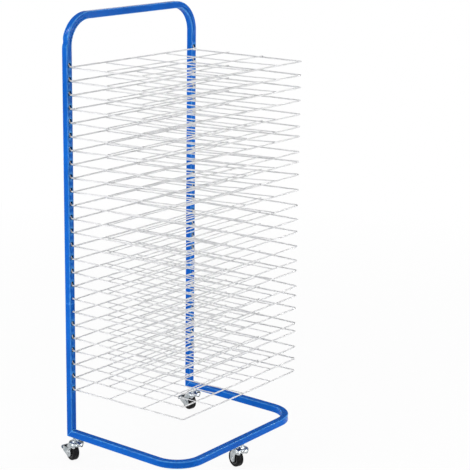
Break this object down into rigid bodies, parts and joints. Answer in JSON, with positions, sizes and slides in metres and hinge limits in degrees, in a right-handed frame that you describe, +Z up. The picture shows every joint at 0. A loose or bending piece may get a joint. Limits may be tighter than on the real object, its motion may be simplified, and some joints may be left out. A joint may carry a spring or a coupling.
{
  "type": "art drying rack",
  "caption": "Wheeled art drying rack: blue square-tube frame on three swivel casters, with wire shelves that hook into slots in its two posts and flip up.",
  "frame": {"origin": "on the floor, at the middle of the frame's footprint (midway between the posts, and midway between the front bar's front face and the posts' rear faces)", "axes": "+X across the rack to its right as seen from the front, +Y from the shelves' free front edge to the posts, +Z up"},
  "size_m": [0.5802, 0.4791, 1.27],
  "materials": {
    "frame_blue": "gloss powder coat",
    "shelf_wire": "satin white powder coat",
    "zinc": "bright zinc plate",
    "black_screw": "black oxide",
    "tyre_black": "matt",
    "core_black": "matt moulded",
    "pedal_grey": "moulded"
  },
  "bodies": {
    "frame": {"handle_frame": "frame_blue", "base_tube": "frame_blue", "lower_post_left": "frame_blue", "lower_post_right": "frame_blue", "corner_welds": "frame_blue", "post_joiner_left": "zinc", "post_joiner_right": "zinc", "frame_screws": "black_screw", "caster_sockets": "zinc", "stem_nuts": "zinc", "race_balls": "zinc", "caster_left_stem": "zinc", "caster_left_cap": "zinc", "caster_right_stem": "zinc", "caster_right_cap": "zinc", "caster_front_stem": "zinc", "caster_front_cap": "zinc"},
    "caster_left_swivel": {"caster_left_fork": "zinc", "caster_left_axle": "zinc"},
    "caster_left_wheel": {"caster_left_wheel_core": "core_black", "caster_left_tyre": "tyre_black"},
    "caster_left_brake": {"caster_left_brake_lever": "zinc", "caster_left_brake_pedal": "pedal_grey"},
    "caster_right_swivel": {"caster_right_fork": "zinc", "caster_right_axle": "zinc"},
    "caster_right_wheel": {"caster_right_wheel_core": "core_black", "caster_right_tyre": "tyre_black"},
    "caster_right_brake": {"caster_right_brake_lever": "zinc", "caster_right_brake_pedal": "pedal_grey"},
    "caster_front_swivel": {"caster_front_fork": "zinc", "caster_front_axle": "zinc"},
    "caster_front_wheel": {"caster_front_wheel_core": "core_black", "caster_front_tyre": "tyre_black"},
    "flip_01": {"shelf_01": "shelf_wire"},
    "flip_02": {"shelf_02": "shelf_wire"},
    "flip_03": {"shelf_03": "shelf_wire"},
    "flip_04": {"shelf_04": "shelf_wire"},
    "flip_05": {"shelf_05": "shelf_wire"},
    "flip_06": {"shelf_06": "shelf_wire"},
    "flip_07": {"shelf_07": "shelf_wire"},
    "flip_08": {"shelf_08": "shelf_wire"},
    "flip_09": {"shelf_09": "shelf_wire"},
    "flip_10": {"shelf_10": "shelf_wire"},
    "flip_11": {"shelf_11": "shelf_wire"},
    "flip_12": {"shelf_12": "shelf_wire"},
    "flip_13": {"shelf_13": "shelf_wire"},
    "flip_14": {"shelf_14": "shelf_wire"},
    "flip_15": {"shelf_15": "shelf_wire"},
    "flip_16": {"shelf_16": "shelf_wire"},
    "flip_17": {"shelf_17": "shelf_wire"},
    "flip_18": {"shelf_18": "shelf_wire"},
    "flip_19": {"shelf_19": "shelf_wire"},
    "flip_20": {"shelf_20": "shelf_wire"},
    "flip_21": {"shelf_21": "shelf_wire"},
    "flip_22": {"shelf_22": "shelf_wire"},
    "flip_23": {"shelf_23": "shelf_wire"},
    "flip_24": {"shelf_24": "shelf_wire"},
    "flip_25": {"shelf_25": "shelf_wire"}
  },
  "joints": [
    {"name": "swivel_left", "type": "hinge", "parent": "frame", "child": "caster_left_swivel", "pos_m": [-0.265, 0.183, 0], "axis": [0, 0, 1], "continuous": true},
    {"name": "roll_left", "type": "hinge", "parent": "caster_left_swivel", "child": "caster_left_wheel", "pos_m": [-0.25857, 0.20404, 0.025], "axis": [0.9563, -0.2924, 0], "continuous": true},
    {"name": "brake_left", "type": "hinge", "parent": "caster_left_swivel", "child": "caster_left_brake", "pos_m": [-0.25857, 0.20404, 0.025], "axis": [-0.9563, 0.2924, 0], "range_deg": [0, 15]},
    {"name": "swivel_right", "type": "hinge", "parent": "frame", "child": "caster_right_swivel", "pos_m": [0.265, 0.183, 0], "axis": [0, 0, 1], "continuous": true},
    {"name": "roll_right", "type": "hinge", "parent": "caster_right_swivel", "child": "caster_right_wheel", "pos_m": [0.27069, 0.20425, 0.025], "axis": [0.9659, -0.2588, 0], "continuous": true},
    {"name": "brake_right", "type": "hinge", "parent": "caster_right_swivel", "child": "caster_right_brake", "pos_m": [0.27069, 0.20425, 0.025], "axis": [-0.9659, 0.2588, 0], "range_deg": [0, 15]},
    {"name": "swivel_front", "type": "hinge", "parent": "frame", "child": "caster_front_swivel", "pos_m": [0, -0.2, 0], "axis": [0, 0, 1], "continuous": true},
    {"name": "roll_front", "type": "hinge", "parent": "caster_front_swivel", "child": "caster_front_wheel", "pos_m": [0.00643, -0.17896, 0.025], "axis": [0.9563, -0.2924, 0], "continuous": true},
    {"name": "flip_01", "type": "hinge", "parent": "frame", "child": "flip_01", "pos_m": [0, 0.1906, 0.216], "axis": [-1, 0, 0], "range_deg": [0, 58.68]},
    {"name": "flip_02", "type": "hinge", "parent": "frame", "child": "flip_02", "pos_m": [0, 0.1906, 0.254], "axis": [-1, 0, 0], "range_deg": [0, 58.97]},
    {"name": "flip_03", "type": "hinge", "parent": "frame", "child": "flip_03", "pos_m": [0, 0.1906, 0.292], "axis": [-1, 0, 0], "range_deg": [0, 59.27]},
    {"name": "flip_04", "type": "hinge", "parent": "frame", "child": "flip_04", "pos_m": [0, 0.1906, 0.33], "axis": [-1, 0, 0], "range_deg": [0, 57.95]},
    {"name": "flip_05", "type": "hinge", "parent": "frame", "child": "flip_05", "pos_m": [0, 0.1906, 0.368], "axis": [-1, 0, 0], "range_deg": [0, 60]},
    {"name": "flip_06", "type": "hinge", "parent": "frame", "child": "flip_06", "pos_m": [0, 0.1906, 0.406], "axis": [-1, 0, 0], "range_deg": [0, 58.83]},
    {"name": "flip_07", "type": "hinge", "parent": "frame", "child": "flip_07", "pos_m": [0, 0.1906, 0.444], "axis": [-1, 0, 0], "range_deg": [0, 58.97]},
    {"name": "flip_08", "type": "hinge", "parent": "frame", "child": "flip_08", "pos_m": [0, 0.1906, 0.482], "axis": [-1, 0, 0], "range_deg": [0, 60.44]},
    {"name": "flip_09", "type": "hinge", "parent": "frame", "child": "flip_09", "pos_m": [0, 0.1906, 0.52], "axis": [-1, 0, 0], "range_deg": [0, 59.12]},
    {"name": "flip_10", "type": "hinge", "parent": "frame", "child": "flip_10", "pos_m": [0, 0.1906, 0.558], "axis": [-1, 0, 0], "range_deg": [0, 60.44]},
    {"name": "flip_11", "type": "hinge", "parent": "frame", "child": "flip_11", "pos_m": [0, 0.1906, 0.596], "axis": [-1, 0, 0], "range_deg": [0, 59.85]},
    {"name": "flip_12", "type": "hinge", "parent": "frame", "child": "flip_12", "pos_m": [0, 0.1906, 0.634], "axis": [-1, 0, 0], "range_deg": [0, 59.12]},
    {"name": "flip_13", "type": "hinge", "parent": "frame", "child": "flip_13", "pos_m": [0, 0.1906, 0.672], "axis": [-1, 0, 0], "range_deg": [0, 59.41]},
    {"name": "flip_14", "type": "hinge", "parent": "frame", "child": "flip_14", "pos_m": [0, 0.1906, 0.71], "axis": [-1, 0, 0], "range_deg": [0, 58.97]},
    {"name": "flip_15", "type": "hinge", "parent": "frame", "child": "flip_15", "pos_m": [0, 0.1906, 0.748], "axis": [-1, 0, 0], "range_deg": [0, 57.95]},
    {"name": "flip_16", "type": "hinge", "parent": "frame", "child": "flip_16", "pos_m": [0, 0.1906, 0.786], "axis": [-1, 0, 0], "range_deg": [0, 57.07]},
    {"name": "flip_17", "type": "hinge", "parent": "frame", "child": "flip_17", "pos_m": [0, 0.1906, 0.824], "axis": [-1, 0, 0], "range_deg": [0, 57.22]},
    {"name": "flip_18", "type": "hinge", "parent": "frame", "child": "flip_18", "pos_m": [0, 0.1906, 0.862], "axis": [-1, 0, 0], "range_deg": [0, 58.68]},
    {"name": "flip_19", "type": "hinge", "parent": "frame", "child": "flip_19", "pos_m": [0, 0.1906, 0.9], "axis": [-1, 0, 0], "range_deg": [0, 57.8]},
    {"name": "flip_20", "type": "hinge", "parent": "frame", "child": "flip_20", "pos_m": [0, 0.1906, 0.938], "axis": [-1, 0, 0], "range_deg": [0, 59.27]},
    {"name": "flip_21", "type": "hinge", "parent": "frame", "child": "flip_21", "pos_m": [0, 0.1906, 0.976], "axis": [-1, 0, 0], "range_deg": [0, 59.71]},
    {"name": "flip_22", "type": "hinge", "parent": "frame", "child": "flip_22", "pos_m": [0, 0.1906, 1.014], "axis": [-1, 0, 0], "range_deg": [0, 59.56]},
    {"name": "flip_23", "type": "hinge", "parent": "frame", "child": "flip_23", "pos_m": [0, 0.1906, 1.052], "axis": [-1, 0, 0], "range_deg": [0, 59.71]},
    {"name": "flip_24", "type": "hinge", "parent": "frame", "child": "flip_24", "pos_m": [0, 0.1906, 1.09], "axis": [-1, 0, 0], "range_deg": [0, 60.29]},
    {"name": "flip_25", "type": "hinge", "parent": "frame", "child": "flip_25", "pos_m": [0, 0.1906, 1.128], "axis": [-1, 0, 0], "range_deg": [0, 60.29]}
  ],
  "couplings": [
    {"joint": "flip_02", "follows": "flip_01", "ratio": 1.005},
    {"joint": "flip_03", "follows": "flip_01", "ratio": 1.01},
    {"joint": "flip_04", "follows": "flip_01", "ratio": 0.98751},
    {"joint": "flip_05", "follows": "flip_01", "ratio": 1.0225},
    {"joint": "flip_06", "follows": "flip_01", "ratio": 1.0025},
    {"joint": "flip_07", "follows": "flip_01", "ratio": 1.005},
    {"joint": "flip_08", "follows": "flip_01", "ratio": 1.03},
    {"joint": "flip_09", "follows": "flip_01", "ratio": 1.0075},
    {"joint": "flip_10", "follows": "flip_01", "ratio": 1.03},
    {"joint": "flip_11", "follows": "flip_01", "ratio": 1.02},
    {"joint": "flip_12", "follows": "flip_01", "ratio": 1.0075},
    {"joint": "flip_13", "follows": "flip_01", "ratio": 1.0125},
    {"joint": "flip_14", "follows": "flip_01", "ratio": 1.005},
    {"joint": "flip_15", "follows": "flip_01", "ratio": 0.98751},
    {"joint": "flip_16", "follows": "flip_01", "ratio": 0.97254},
    {"joint": "flip_17", "follows": "flip_01", "ratio": 0.97503},
    {"joint": "flip_18", "follows": "flip_01", "ratio": 1},
    {"joint": "flip_19", "follows": "flip_01", "ratio": 0.98501},
    {"joint": "flip_20", "follows": "flip_01", "ratio": 1.01},
    {"joint": "flip_21", "follows": "flip_01", "ratio": 1.0175},
    {"joint": "flip_22", "follows": "flip_01", "ratio": 1.015},
    {"joint": "flip_23", "follows": "flip_01", "ratio": 1.0175},
    {"joint": "flip_24", "follows": "flip_01", "ratio": 1.0275},
    {"joint": "flip_25", "follows": "flip_01", "ratio": 1.0275}
  ]
}
